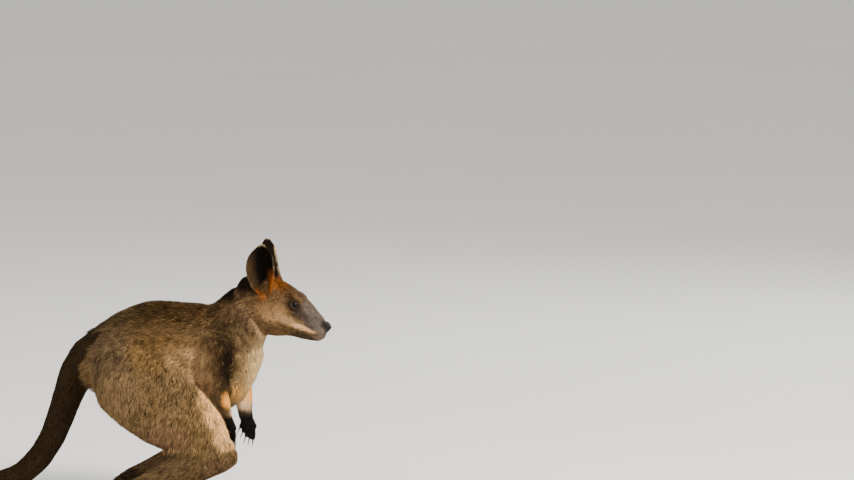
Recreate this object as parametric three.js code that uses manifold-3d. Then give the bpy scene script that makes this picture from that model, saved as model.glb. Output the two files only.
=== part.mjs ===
// A swamp wallaby at life size, crouched on its hind feet with the tail behind it and both hands hanging.
// Millimetres, +X to the wallaby's front, +Y to its left, +Z up. The origin is on the floor, under the
// middle of the animal's outer box. The solids reach out to the tips of the coat.
import * as THREE from "three";
import { mergeVertices } from "three/addons/utils/BufferGeometryUtils.js";
import Module from "manifold-3d";

const wasm = await Module();
wasm.setup();

const GAP = 0.3; // between two parts of the body
const SIDES = { right: -1, left: 1 }; // the sign of Y on each side of the body
const LEFT = new THREE.Vector3(0, 1, 0);

// Driving sizes of the head, in its own frame: +X along the muzzle, origin between the ears.
const HEAD_AT = new THREE.Vector3(200, 0, 362);
const HEAD_PITCH = 22; // degrees that the muzzle points below level
const EYE = { x: 66, y: 21.5, z: 31, radius: 9.5 };
const EAR = { x: 11, y: 27, z: 30, length: 94, halfWidth: 26, thickness: 2.8 };
const EAR_LEAN = { right: 1, left: -6 }; // degrees forward of upright
const EAR_SPLAY = { right: 18, left: 3 }; // degrees outwards
const EAR_TURN = { right: 12, left: 40 }; // degrees that the opening faces forward of straight out
const MOUTH = { corner: 84, cornerZ: -7, tipZ: 1.5, jawBack: 34 };

// Claws, as radius at the root, radius at the tip and length.
const HAND_CLAW = { root: 2.3, tip: 0.45, length: 13, droop: 2.5 };
const FOOT_CLAW = { root: 4.6, tip: 0.7, length: 22, droop: 3 };
const SMALL_CLAW = { root: 2.4, tip: 0.5, length: 12, droop: 2 };

// ---- Shapes ---------------------------------------------------------------------------------------

// A closed solid along a smooth line of stations [x, y, z, half width, half height, keel], with a dome at
// each end. The half width is across the line, towards `across`. A keel below 0 narrows the top of the
// section, one above 0 its underside. `grow` makes the whole solid larger, to clear a neighbour.
function loft(stations, { across = LEFT, rings, sides, square = 2, domes = [1, 1], rims = 1, grow = 0 }) {
  const line = new THREE.CatmullRomCurve3(stations.map(([x, y, z]) => new THREE.Vector3(x, y, z)));
  const halves = stations.map(([, , , w, h, keel = 0]) => new THREE.Vector3(w, h, keel));
  const sizes = new THREE.CatmullRomCurve3(halves);
  const points = [];
  const index = [];
  const ring = (centre, along, w, h, keel) => {
    const side = across.clone().addScaledVector(along, -across.dot(along)).normalize();
    const up = along.clone().cross(side);
    for (let j = 0; j < sides; j++) {
      const angle = (j / sides) * 2 * Math.PI;
      const [c, s] = [Math.cos(angle), Math.sin(angle)];
      const outX = Math.sign(c) * Math.abs(c) ** (2 / square) * (1 + keel * s);
      const outY = Math.sign(s) * Math.abs(s) ** (2 / square);
      points.push(centre.clone().addScaledVector(side, w * outX).addScaledVector(up, h * outY));
    }
  };
  const dome = (t, sign) => {
    const centre = line.getPoint(t);
    const along = line.getTangent(t);
    const size = sizes.getPoint(t);
    const reach = Math.min(size.x, size.y) * domes[t];
    const circles = [];
    for (let k = 1; k <= rims; k++) {
      const angle = (k / (rims + 1)) * (Math.PI / 2);
      const out = sign * (reach * Math.sin(angle) + grow);
      circles.push([centre.clone().addScaledVector(along, out), Math.cos(angle)]);
    }
    const pole = centre.clone().addScaledVector(along, sign * (reach + grow));
    return { circles, pole, along, size };
  };
  const start = dome(0, -1);
  const end = dome(1, 1);
  const addRim = ({ along, size }, [centre, share]) =>
    ring(centre, along, size.x * share + grow, size.y * share + grow, size.z);
  points.push(start.pole);
  [...start.circles].reverse().forEach((circle) => addRim(start, circle));
  for (let i = 0; i <= rings; i++) {
    const t = i / rings;
    const size = sizes.getPoint(t);
    ring(line.getPoint(t), line.getTangent(t), size.x + grow, size.y + grow, size.z);
  }
  end.circles.forEach((circle) => addRim(end, circle));
  points.push(end.pole);
  const ringCount = rings + 1 + 2 * rims;
  const at = (i, j) => 1 + i * sides + (j % sides);
  for (let j = 0; j < sides; j++) {
    index.push(0, at(0, j + 1), at(0, j));
    for (let i = 0; i + 1 < ringCount; i++) {
      index.push(at(i, j), at(i, j + 1), at(i + 1, j + 1), at(i, j), at(i + 1, j + 1), at(i + 1, j));
    }
    index.push(at(ringCount - 1, j), at(ringCount - 1, j + 1), points.length - 1);
  }
  return new THREE.BufferGeometry().setFromPoints(points).setIndex(index);
}

// An ellipsoid, at a place and turned about its own axes.
function egg([x, y, z], [a, b, c], turn = [0, 0, 0]) {
  const place = new THREE.Matrix4().compose(
    new THREE.Vector3(x, y, z),
    new THREE.Quaternion().setFromEuler(new THREE.Euler(...turn.map(THREE.MathUtils.degToRad))),
    new THREE.Vector3(a, b, c),
  );
  return new THREE.SphereGeometry(1, 8, 5).applyMatrix4(place);
}

const mirrored = (stations, sign) => stations.map(([x, y, ...rest]) => [x, sign * y, ...rest]);

// The stations of a leg drawn back by a distance, less and less from the knee up to the hip.
const drawnBack = (stations, distance) =>
  stations.map(([x, y, z, ...rest]) => {
    const share = THREE.MathUtils.clamp((HIP_HEIGHT - z) / (HIP_HEIGHT - KNEE_HEIGHT), 0, 1);
    return [x - distance * share, y, z, ...rest];
  });

// A geometry as a solid for cutting and joining, and back.
function solid(geometry) {
  const bare = geometry.clone();
  ["normal", "uv"].forEach((name) => bare.deleteAttribute(name));
  const merged = mergeVertices(bare, 1e-4);
  return new wasm.Manifold(
    new wasm.Mesh({
      numProp: 3,
      vertProperties: merged.attributes.position.array,
      triVerts: new Uint32Array(merged.index.array),
    }),
  );
}

function geometryOf(made) {
  const { vertProperties, triVerts } = made.getMesh();
  const geometry = new THREE.BufferGeometry();
  geometry.setAttribute("position", new THREE.BufferAttribute(new Float32Array(vertProperties), 3));
  geometry.setIndex(new THREE.BufferAttribute(new Uint32Array(triVerts), 1));
  geometry.computeVertexNormals();
  return geometry;
}

const joined = (...solids) => solids.reduce((whole, piece) => whole.add(piece));
const largest = (made) => made.decompose().reduce((a, b) => (a.volume() > b.volume() ? a : b));
const without = (made, ...rooms) => largest(rooms.reduce((rest, room) => rest.subtract(room), made));

// ---- Trunk, neck and tail -------------------------------------------------------------------------

const TRUNK = {
  stations: [
    [-92, 0, 262, 48, 65, -0.06],
    [-68, 0, 259, 67, 87, -0.1],
    [-36, 0, 255, 79, 105, -0.14],
    [0, 0, 253, 84, 114, -0.16],
    [45, 0, 257, 83, 111, -0.16],
    [88, 0, 265, 75, 101, -0.16],
    [122, 0, 266, 64, 94, -0.14],
    [150, 0, 250, 51, 89, -0.02],
    [178, 0, 237, 40, 70, 0.06],
  ],
  rings: 10,
  sides: 14,
  domes: [0.6, 0.5],
};

const NECK = {
  stations: [
    [118, 0, 284, 58, 68, -0.18],
    [146, 0, 308, 51, 61, -0.14],
    [172, 0, 335, 45, 56, -0.08],
    [193, 0, 360, 40, 51, -0.04],
    [206, 0, 376, 33, 42, 0],
  ],
  rings: 4,
  sides: 14,
};

const TAIL = {
  stations: [
    [-62, 0, 296, 50, 36],
    [-92, 0, 276, 43, 35],
    [-121, 0, 253, 34, 35],
    [-142, 0, 215, 27.5, 29],
    [-158, 0, 172, 24.5, 25],
    [-176, 1, 124, 23, 23],
    [-203, 3, 78, 22, 22],
    [-244, 6, 40, 21, 21],
    [-292, 11, 23, 20, 20.5],
    [-350, 19, 17, 18.5, 18],
    [-410, 30, 14.5, 17, 16],
    [-470, 45, 12.5, 15.5, 14.5],
    [-528, 64, 10.5, 13.5, 12.5],
    [-580, 88, 8.5, 11, 10],
    [-606, 103, 6.5, 7.5, 7],
  ],
  rings: 16,
  sides: 10,
};
const TAIL_CUTS = [0.46, 0.74]; // where the tail is parted, as shares of its line

// ---- Hind legs, on the right; the left is mirrored, with its knee and foot drawn back ----------------

const DRAWN_BACK = { right: 0, left: 42 }; // how far each knee and foot stands behind the right ones
const HIP_HEIGHT = 262;
const KNEE_HEIGHT = 109;

const THIGH = {
  stations: [
    [-58, 46, 262, 36, 56],
    [-20, 60, 232, 44, 80],
    [26, 68, 196, 45, 77],
    [76, 73, 164, 40, 69],
    [115, 76, 138, 34, 52],
    [142, 77, 110, 27, 35],
  ],
  rings: 6,
  sides: 12,
  domes: [0.8, 1],
};
const SHIN = {
  stations: [
    [154, 77, 97, 25, 27],
    [112, 77, 84, 29, 32],
    [62, 77, 63, 24, 27],
    [16, 77, 45, 18, 19],
    [-14, 77, 33, 15, 16],
    [-30, 77, 24, 13, 14],
  ],
  rings: 5,
  sides: 10,
  domes: [1.2, 1],
};
const FOOT = {
  stations: [
    [-44, 77, 14, 12, 14],
    [-22, 77, 17, 16, 19],
    [20, 77, 15, 16, 17],
    [66, 78, 13, 17, 15],
    [104, 79, 11, 18, 13],
    [122, 79, 9.5, 15, 11],
  ],
  rings: 5,
  sides: 9,
  square: 2.4,
  domes: [0.9, 0.9],
};
// Each toe from its root to its tip, as stations, and the claw that it carries.
const TOES = {
  fourth: {
    stations: [[108, 79, 10, 10, 10], [130, 79, 9, 9.5, 9.5], [146, 79, 7.5, 8, 7.5]],
    claw: FOOT_CLAW,
  },
  fifth: {
    stations: [[92, 92, 9, 7, 8], [110, 95, 8, 6.5, 7], [124, 97, 6.5, 5.5, 6]],
    claw: SMALL_CLAW,
  },
  third: {
    stations: [[88, 68, 10, 5, 7], [106, 65, 9, 4, 5.5], [119, 64.4, 8, 3.3, 4.4]],
    claw: SMALL_CLAW,
  },
  second: {
    stations: [[86, 62, 9.5, 5, 7], [104, 57.5, 8.5, 4, 5.5], [116, 57, 7.5, 3.3, 4.4]],
    claw: SMALL_CLAW,
  },
};

// ---- Arms ------------------------------------------------------------------------------------------

// The joints of each arm: the right hand is drawn back a little more than the left. The palm lies along
// `hang`, its knuckles run along `row` from the thumb, and the fingers set out along `point`.
const ARMS = {
  right: { shoulder: [140, 50, 299], elbow: [132, 63, 230], wrist: [151, 42, 167] },
  left: { shoulder: [144, 50, 299], elbow: [148, 62, 228], wrist: [165, 48, 158] },
};
const UPPER_ARM_HALF = [28, 27, 23, 20];
const FOREARM_HALF = [17.5, 17.5, 14, 11];
const PALM = { hang: [0.34, -0.08, -0.94], row: [0.62, 0.1, -0.78], length: 28 };
const PALM_HALF = { width: 14, wristWidth: 10, depth: 8 };
const FINGERS = { count: 5, point: [-0.16, -0.1, -0.98], length: 20, radius: 4, spread: 24, curl: 20 };

// ---- Building --------------------------------------------------------------------------------------

const onFloor = (made) => {
  const DEEP = 60;
  const floor = new THREE.BoxGeometry(2000, 2000, DEEP).translate(0, 0, -DEEP / 2);
  return made.subtract(solid(floor));
};
const make = (spec, sign = 1) => solid(loft(mirrored(spec.stations, sign), spec));
const room = (spec, sign = 1) => solid(loft(mirrored(spec.stations, sign), { ...spec, grow: GAP }));

// A claw from a fingertip: a thin cone that droops towards its point.
function claw({ root, tip, length, droop }, from, along) {
  const axis = new THREE.Vector3(...along).normalize();
  const START = 2; // how far the root sits inside the skin
  const stations = [0, 0.4, 0.75, 1].map((share) => {
    const p = new THREE.Vector3(...from).addScaledVector(axis, length * share - START);
    const radius = THREE.MathUtils.lerp(root, tip, share ** 1.2);
    return [p.x, p.y, p.z - droop * share ** 2, radius * 0.8, radius];
  });
  return { stations, rings: 2, sides: 4, domes: [0.3, 1] };
}

// Points from a to b, bowed by `bow`, with the half sizes given at even steps.
function limb(a, b, halves, { bow = [0, 0, 0], depth = 1 } = {}) {
  const [from, to, out] = [a, b, bow].map((p) => new THREE.Vector3(...p));
  return halves.map((half, i) => {
    const share = i / (halves.length - 1);
    const p = from.clone().lerp(to, share).addScaledVector(out, Math.sin(Math.PI * share));
    return [p.x, p.y, p.z, half, half * depth];
  });
}

const parts = {}; // node name to solid, in the body's frame

// Hind legs.
const legRooms = {};
for (const [side, sign] of Object.entries(SIDES)) {
  const onSide = (spec) => ({ ...spec, stations: drawnBack(spec.stations, DRAWN_BACK[side]) });
  const [thigh, shin, foot] = [THIGH, SHIN, FOOT].map(onSide);
  let footSolid = make(foot, sign);
  for (const [toe, { stations: rightStations, claw: kind }] of Object.entries(TOES)) {
    const stations = drawnBack(rightStations, DRAWN_BACK[side]);
    const toeSpec = { stations, rings: 2, sides: 5, domes: [0.6, 0.8] };
    const [[x0, y0], [x, y, z, , reach]] = [stations[1], stations.at(-1)];
    const tip = [x + reach * 0.6, y, z - 0.5];
    const clawSpec = claw(kind, tip, [x - x0, y - y0, -2]);
    parts[`claw_${toe}_${side}_foot`] = onFloor(make(clawSpec, sign));
    footSolid = footSolid.add(make(toeSpec, sign));
    footSolid = footSolid.subtract(room(clawSpec, sign));
  }
  parts[`foot_${side}`] = largest(onFloor(footSolid));
  parts[`shin_${side}`] = without(onFloor(make(shin, sign)), room(thigh, sign), room(foot, sign));
  parts[`thigh_${side}`] = make(thigh, sign);
  legRooms[side] = room(thigh, sign);
}

// Arms and hands.
const armRooms = {};
for (const [side, sign] of Object.entries(SIDES)) {
  const { shoulder, elbow, wrist } = ARMS[side];
  const upperArm = {
    stations: limb(shoulder, elbow, UPPER_ARM_HALF, { bow: [-4, 3, 0], depth: 1.25 }),
    rings: 4,
    sides: 10,
    domes: [0.8, 1],
  };
  const forearm = {
    stations: limb(elbow, wrist, FOREARM_HALF, { bow: [3, 2, -2], depth: 1.1 }),
    rings: 3,
    sides: 8,
    domes: [0.7, 0.5],
  };
  const down = new THREE.Vector3(...PALM.hang).normalize();
  const row = new THREE.Vector3(...PALM.row).normalize();
  const point = new THREE.Vector3(...FINGERS.point).normalize();
  const heel = new THREE.Vector3(...wrist);
  const palmEnd = heel.clone().addScaledVector(down, PALM.length);
  const palm = {
    stations: [
      [...heel, PALM_HALF.wristWidth, PALM_HALF.depth + 1.5],
      [...heel.clone().lerp(palmEnd, 0.5), PALM_HALF.width - 1.5, PALM_HALF.depth + 0.5],
      [...palmEnd, PALM_HALF.width, PALM_HALF.depth - 1],
    ],
    across: row.clone().multiply(new THREE.Vector3(1, sign, 1)),
    rings: 2,
    sides: 8,
    domes: [0.6, 0.6],
  };
  let hand = make(palm, sign);
  const knuckles = heel.clone().lerp(palmEnd, 0.75);
  const axis = new THREE.Vector3().crossVectors(row, point).normalize(); // the fingers fan about this line
  const inward = new THREE.Vector3(-0.3, -1, 0.1).normalize(); // the palm faces back and to the other hand
  for (let i = 0; i < FINGERS.count; i++) {
    const place = i / (FINGERS.count - 1) - 0.5;
    const knuckle = knuckles.clone().addScaledVector(row, place * 1.9 * PALM_HALF.width);
    const out = point.clone().applyAxisAngle(axis, THREE.MathUtils.degToRad(-place * FINGERS.spread));
    const curl = Math.tan(THREE.MathUtils.degToRad(FINGERS.curl));
    const bent = out.clone().addScaledVector(inward, curl).normalize();
    const length = FINGERS.length * (1 - 0.25 * Math.abs(place) * 2);
    const middle = knuckle.clone().addScaledVector(out, length * 0.5);
    const end = middle.clone().addScaledVector(bent, length * 0.5);
    const r = FINGERS.radius;
    const finger = {
      stations: [[...knuckle, r, r * 1.1], [...middle, r * 0.94, r], [...end, r * 0.8, r * 0.85]],
      rings: 2,
      sides: 5,
      domes: [0.8, 0.8],
    };
    const clawSpec = claw(HAND_CLAW, end.clone().addScaledVector(bent, r * 0.5), bent.toArray());
    hand = hand.add(make(finger, sign)).subtract(room(clawSpec, sign));
    parts[`claw_${i + 1}_${side}_hand`] = make(clawSpec, sign);
  }
  parts[`hand_${side}`] = largest(hand);
  const palmRoom = room(palm, sign);
  const upperArmRoom = room(upperArm, sign);
  parts[`upper_arm_${side}`] = make(upperArm, sign);
  parts[`forearm_${side}`] = without(make(forearm, sign), upperArmRoom, palmRoom);
  armRooms[side] = [upperArmRoom, room(forearm, sign), palmRoom];
}
for (const side of Object.keys(SIDES)) {
  parts[`thigh_${side}`] = without(parts[`thigh_${side}`], ...armRooms[side]);
}

// Trunk, neck and tail.
const tailLine = new THREE.CatmullRomCurve3(TAIL.stations.map(([x, y, z]) => new THREE.Vector3(x, y, z)));
const wholeTail = without(onFloor(make(TAIL)), room(TRUNK), legRooms.left, legRooms.right);
const FORWARD = new THREE.Vector3(1, 0, 0);
const slabs = TAIL_CUTS.map((share) => {
  const slab = new THREE.BoxGeometry(GAP, 120, 120);
  const facing = new THREE.Quaternion().setFromUnitVectors(FORWARD, tailLine.getTangent(share));
  return solid(slab.applyQuaternion(facing).translate(...tailLine.getPoint(share)));
});
const tailLengths = slabs.reduce((rest, slab) => rest.subtract(slab), wholeTail).decompose();
tailLengths.sort((a, b) => b.boundingBox().max[0] - a.boundingBox().max[0]);
["tail_base", "tail_middle", "tail_tip"].forEach((name, i) => (parts[name] = tailLengths[i]));

// ---- Head, in its own frame ------------------------------------------------------------------------

const SKULL = {
  stations: [
    [-26, 0, 8, 33, 40, -0.05],
    [-4, 0, 8, 40, 48.5, -0.08],
    [20, 0, 8, 42, 51, -0.12],
    [42, 0, 9, 40, 49.5, -0.18],
    [60, 0, 10, 35.5, 44, -0.22],
    [78, 0, 9, 29, 37, -0.18],
    [96, 0, 6, 24, 31, -0.12],
    [112, 0, 4, 21, 25, -0.08],
    [123, 0, 3.5, 18.5, 20, 0],
    [130, 0, 5.5, 15, 14.5, 0],
  ],
  rings: 10,
  sides: 14,
  domes: [0.7, 0.25],
};
const NOSE_PAD = [
  [124, 0, 14.5, 9, 7],
  [130, 0, 14, 10.5, 9],
  [135.5, 0, 12, 8, 7],
];

// The outer ear: an egg-shaped leaf curled about its long axis, open to the side. Its edges meet round
// the root, the back edge bulges more than the front one, and the wall has one thickness.
function earShell(sign) {
  const ROWS = 8;
  const ACROSS = 6;
  const WIDEST = 0.5; // as a share of the length
  const ROOT_WIDTH = 0.4;
  const TIP_HALF = 9;
  const BULGE = 6;
  const ROLLS = [125, 58]; // degrees to each side of the fold, at the root and from the widest row up
  const surface = (row, column, wall) => {
    const v = Math.sin((row / ROWS) * (Math.PI / 2)); // rows crowd towards the rounded tip
    const s = (column / ACROSS) * 2 - 1;
    const below = Math.min(v / WIDEST, 1);
    const above = Math.max((v - WIDEST) / (1 - WIDEST), 0);
    const swell = ROOT_WIDTH + (1 - ROOT_WIDTH) * Math.sin((below * Math.PI) / 2) ** 1.3;
    const half = Math.max(EAR.halfWidth * swell * Math.sqrt(1 - above ** 2.6), TIP_HALF);
    const opened = THREE.MathUtils.smoothstep(v, 0, 0.5);
    const roll = THREE.MathUtils.degToRad(THREE.MathUtils.lerp(...ROLLS, opened));
    const radius = half / Math.sin(Math.min(roll, Math.PI / 2));
    const reach = radius - Math.min(wall, 0.45 * radius);
    const bulge = BULGE * Math.sin(Math.PI * v);
    return new THREE.Vector3(
      reach * Math.sin(s * roll) - bulge,
      -sign * (reach * Math.cos(s * roll) - radius * 0.6),
      v * EAR.length * (1 - 0.05 * s * s),
    );
  };
  const points = [];
  const index = [];
  const stride = ACROSS + 1;
  const layer = (ROWS + 1) * stride;
  for (const wall of [0, EAR.thickness]) {
    for (let row = 0; row <= ROWS; row++) {
      for (let column = 0; column <= ACROSS; column++) points.push(surface(row, column, wall));
    }
  }
  const quad = (a, b, c, d) => (sign > 0 ? index.push(a, b, c, a, c, d) : index.push(a, c, b, a, d, c));
  for (let row = 0; row < ROWS; row++) {
    for (let column = 0; column < ACROSS; column++) {
      const a = row * stride + column;
      quad(a, a + 1, a + 1 + stride, a + stride);
      quad(a + layer, a + stride + layer, a + 1 + stride + layer, a + 1 + layer);
    }
  }
  const edge = [];
  for (let column = 0; column < ACROSS; column++) edge.push(column);
  for (let row = 0; row < ROWS; row++) edge.push(row * stride + ACROSS);
  for (let column = ACROSS; column > 0; column--) edge.push(ROWS * stride + column);
  for (let row = ROWS; row > 0; row--) edge.push(row * stride);
  edge.forEach((a, i) => {
    const b = edge[(i + 1) % edge.length];
    quad(b, a, a + layer, b + layer);
  });
  return new THREE.BufferGeometry().setFromPoints(points).setIndex(index);
}

// The fold of skin and fur at the foot of each ear.
const earRoot = (sign, grow) => [
  [15, sign * 25, 40],
  [14, 11, 19].map((half) => half + grow),
  [-sign * 10, -14, 0],
];

const headParts = {};
const skull = joined(
  make(SKULL),
  ...Object.values(SIDES).flatMap((sign) => [
    solid(egg([64, sign * 20, 43], [16, 8.5, 6.5], [0, 16, sign * 14])), // brow
    solid(egg(...earRoot(sign, 0))),
    solid(egg([120, sign * 11, -1], [15, 8.5, 10], [0, 8, sign * 12])), // whisker pad
  ]),
);
const eyeRoom = [];
for (const [side, sign] of Object.entries(SIDES)) {
  const place = [EYE.x, sign * EYE.y, EYE.z];
  headParts[`eye_${side}`] = solid(egg(place, [EYE.radius, EYE.radius, EYE.radius]));
  eyeRoom.push(solid(egg(place, [EYE.radius + GAP, EYE.radius + GAP, EYE.radius + GAP])));
}
const padSpec = { stations: NOSE_PAD, rings: 2, sides: 8, domes: [0.4, 0.5] };
headParts.nose = make(padSpec);

// The jaw is parted from the skull by a thin cut along the mouth, closed behind its corner.
const mouthPath = [
  [160, MOUTH.tipZ],
  [MOUTH.corner, MOUTH.cornerZ],
  [MOUTH.jawBack, -70],
];
const mouthEdges = [...mouthPath, ...[...mouthPath].reverse().map(([x, z]) => [x - GAP * 0.6, z + GAP])];
const mouthLine = new THREE.Shape(mouthEdges.map((point) => new THREE.Vector2(...point)));
const MOUTH_CUT_WIDTH = 160;
const mouthCut = new THREE.ExtrudeGeometry(mouthLine, { depth: MOUTH_CUT_WIDTH, bevelEnabled: false });
mouthCut.translate(0, 0, -MOUTH_CUT_WIDTH / 2).rotateX(Math.PI / 2);
const headCuts = [...eyeRoom, room(padSpec), solid(mouthCut)];
const headSolid = headCuts.reduce((rest, cut) => rest.subtract(cut), skull);
const [upper, lower] = headSolid.decompose().sort((a, b) => b.volume() - a.volume());
headParts.head = upper;
headParts.jaw = lower;

for (const [side, sign] of Object.entries(SIDES)) {
  const stand = new THREE.Matrix4().compose(
    new THREE.Vector3(EAR.x, sign * EAR.y, EAR.z),
    new THREE.Quaternion().setFromEuler(
      new THREE.Euler(
        THREE.MathUtils.degToRad(-sign * EAR_SPLAY[side]),
        THREE.MathUtils.degToRad(EAR_LEAN[side] - HEAD_PITCH),
        THREE.MathUtils.degToRad(-sign * EAR_TURN[side]),
      ),
    ),
    new THREE.Vector3(1, 1, 1),
  );
  const ear = solid(earShell(sign).applyMatrix4(stand));
  headParts[`ear_${side}`] = without(ear, room(SKULL), solid(egg(...earRoot(sign, GAP))));
}

const headPlace = new THREE.Matrix4().compose(
  HEAD_AT,
  new THREE.Quaternion().setFromAxisAngle(LEFT, THREE.MathUtils.degToRad(HEAD_PITCH)),
  new THREE.Vector3(1, 1, 1),
);
const headRoom = solid(loft(SKULL.stations, { ...SKULL, grow: GAP }).applyMatrix4(headPlace));
const limbRooms = Object.keys(SIDES).flatMap((side) => [legRooms[side], ...armRooms[side]]);
parts.trunk = without(make(TRUNK), ...limbRooms, headRoom);
parts.neck = without(make(NECK), room(TRUNK), headRoom, ...limbRooms);

// ---- Materials and the scene graph -----------------------------------------------------------------

const coat = (color, roughness = 0.9) => new THREE.MeshStandardMaterial({ color, roughness, metalness: 0 });
const MATERIALS = [
  [/^(trunk|neck|upper_arm)/, coat("#5b4a3a")],
  [/^(thigh|shin)/, coat("#6b543f")],
  [/^(head|jaw)/, coat("#6d5a48")],
  [/^ear/, coat("#2a211c")],
  [/^tail/, coat("#1f1a18")],
  [/^(forearm|foot|hand)/, coat("#2b2420")],
  [/^claw/, coat("#332c2a", 0.35)],
  [/^nose/, coat("#191615", 0.5)],
  [/^eye/, coat("#140d0a", 0.08)],
];

const meshOf = ([name, made]) => {
  const mesh = new THREE.Mesh(geometryOf(made), MATERIALS.find(([pattern]) => pattern.test(name))[1]);
  mesh.name = name;
  return mesh;
};

const wallaby = new THREE.Group();
const head = new THREE.Group();
head.position.copy(HEAD_AT);
head.rotation.y = THREE.MathUtils.degToRad(HEAD_PITCH);
head.add(...Object.entries(headParts).map(meshOf));
wallaby.add(head, ...Object.entries(parts).map(meshOf));

// The origin is under the middle of the outer box.
const box = new THREE.Box3().setFromObject(wallaby, true);
const middle = box.getCenter(new THREE.Vector3());
wallaby.position.set(-middle.x, -middle.y, -box.min.z);

export default wallaby;
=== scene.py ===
"""The looks of a life-size swamp wallaby, crouched on its hind feet and facing right.

One skin stands for all the CAD solids of flesh and lies inside them by the depth of the coat. The coat is
closed tufts that follow the lie of the hair, and their tips reach back out to the CAD outline. The eyes,
nose and claws are pieces of their own. Metres, +X to the animal's front, +Y to its left, +Z up. Tables of
places and sizes are in millimetres.
"""

import math

import bmesh
import bpy
import numpy as np
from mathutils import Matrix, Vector
from mathutils.bvhtree import BVHTree
from mathutils.kdtree import KDTree


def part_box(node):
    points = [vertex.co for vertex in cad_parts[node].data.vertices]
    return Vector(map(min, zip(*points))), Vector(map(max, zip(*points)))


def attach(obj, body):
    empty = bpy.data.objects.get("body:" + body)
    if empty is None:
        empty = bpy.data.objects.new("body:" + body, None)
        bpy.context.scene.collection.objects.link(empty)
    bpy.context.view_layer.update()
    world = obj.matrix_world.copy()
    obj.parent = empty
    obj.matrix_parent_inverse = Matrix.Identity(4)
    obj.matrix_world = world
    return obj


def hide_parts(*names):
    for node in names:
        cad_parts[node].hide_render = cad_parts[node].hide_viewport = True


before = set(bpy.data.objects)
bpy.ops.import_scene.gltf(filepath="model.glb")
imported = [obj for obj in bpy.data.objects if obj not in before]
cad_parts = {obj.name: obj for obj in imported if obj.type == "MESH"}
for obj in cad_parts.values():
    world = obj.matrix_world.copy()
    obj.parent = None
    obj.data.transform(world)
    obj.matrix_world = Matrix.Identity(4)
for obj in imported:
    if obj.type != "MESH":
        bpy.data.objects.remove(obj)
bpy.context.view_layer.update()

MM = THOUSANDTH = 0.001
SIDES = {"right": -1, "left": 1}  # the sign of Y on each side of the body
random = np.random.default_rng(7)

# ---- The head's own frame: +X along the muzzle, origin low between the ears ----

HEAD_PITCH = math.radians(22)  # the muzzle points this far below level
EYE_LOCAL = np.array([66, 24.5, 31]) * MM
FORWARD = np.array([math.cos(HEAD_PITCH), 0, -math.sin(HEAD_PITCH)])
UPWARD = np.array([math.sin(HEAD_PITCH), 0, math.cos(HEAD_PITCH)])
HEAD_AXES = np.array([FORWARD, [0, 1, 0], UPWARD])  # rows are the head's axes in the body's frame


def middle(node):
    """The middle of a CAD node's box."""
    low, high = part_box(node)
    return np.array((low + high) / 2)


eyes_middle = (middle("eye_right") + middle("eye_left")) / 2
HEAD_AT = eyes_middle - EYE_LOCAL[0] * FORWARD - EYE_LOCAL[2] * UPWARD


def to_head(points):
    return (points - HEAD_AT) @ HEAD_AXES.T


def from_head(points):
    return points @ HEAD_AXES + HEAD_AT


# ---- Camera, light and floor ----

AIM = Vector(HEAD_AT) + Vector((0.2774, 0.1519, 0.107))  # in the middle of the picture, ahead of the head
TO_CAMERA = Vector((0.2068, -0.9728, 0.1045))  # from its right side, a little from the front and above
CAMERA_AWAY = 10.0
VIEW_WIDTH = 1.537  # metres across at the aim
LIT_PLACE = Vector((0, 0, 0.25))  # where the lights point


def aimed(name, data, place, backwards):
    """Adds a camera or a light that looks away from the way `backwards`."""
    added = bpy.data.objects.new(name, data)
    added.location = place
    added.rotation_euler = backwards.to_track_quat("Z", "Y").to_euler()
    bpy.context.scene.collection.objects.link(added)
    return added


def add_camera():
    data = bpy.data.cameras.new("camera")
    data.sensor_width = 36
    data.lens = data.sensor_width * CAMERA_AWAY / VIEW_WIDTH
    data.clip_end = 200
    place = AIM + TO_CAMERA.normalized() * CAMERA_AWAY
    bpy.context.scene.camera = aimed("camera", data, place, TO_CAMERA)


def add_light(name, place, size, power, colour):
    data = bpy.data.lights.new(name, "AREA")
    data.shape = "DISK"
    data.size = size
    data.energy = power
    data.color = colour
    aimed(name, data, place, Vector(place) - LIT_PLACE)


def add_world(colour, strength):
    world = bpy.data.worlds.new("studio")
    world.use_nodes = True
    background = world.node_tree.nodes["Background"]
    background.inputs["Color"].default_value = (*colour, 1)
    background.inputs["Strength"].default_value = strength
    bpy.context.scene.world = world


# ---- Numbers for many points at once ----


def unit(vectors):
    return vectors / np.maximum(np.linalg.norm(vectors, axis=-1, keepdims=True), 1e-12)


def dot(first, second):
    return np.sum(first * second, axis=1)


def step(low, high, values):
    """Rises smoothly from 0 at low to 1 at high."""
    share = np.clip((values - low) / (high - low), 0, 1)
    return share * share * (3 - 2 * share)


def bell(values, width):
    """1 where the values are 0, falling away over the width."""
    return np.exp(-((values / width) ** 2))


def drawn_to(values, target, share):
    """Values drawn towards a target by each point's share."""
    return values + share[:, None] * (np.array(target) - values)


def mirrored(points):
    """Points of the right side moved over to the left one."""
    return points * [1, 0, 1] + np.abs(points[:, [1]]) * [0, 1, 0]


def patch_gap(points, middle_mm, halves_mm):
    """How far points are from a patch's middle, in its half sizes."""
    return np.linalg.norm((points - np.array(middle_mm) * MM) / (np.array(halves_mm) * MM), axis=1)


# ---- Surfaces as arrays ----


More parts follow.
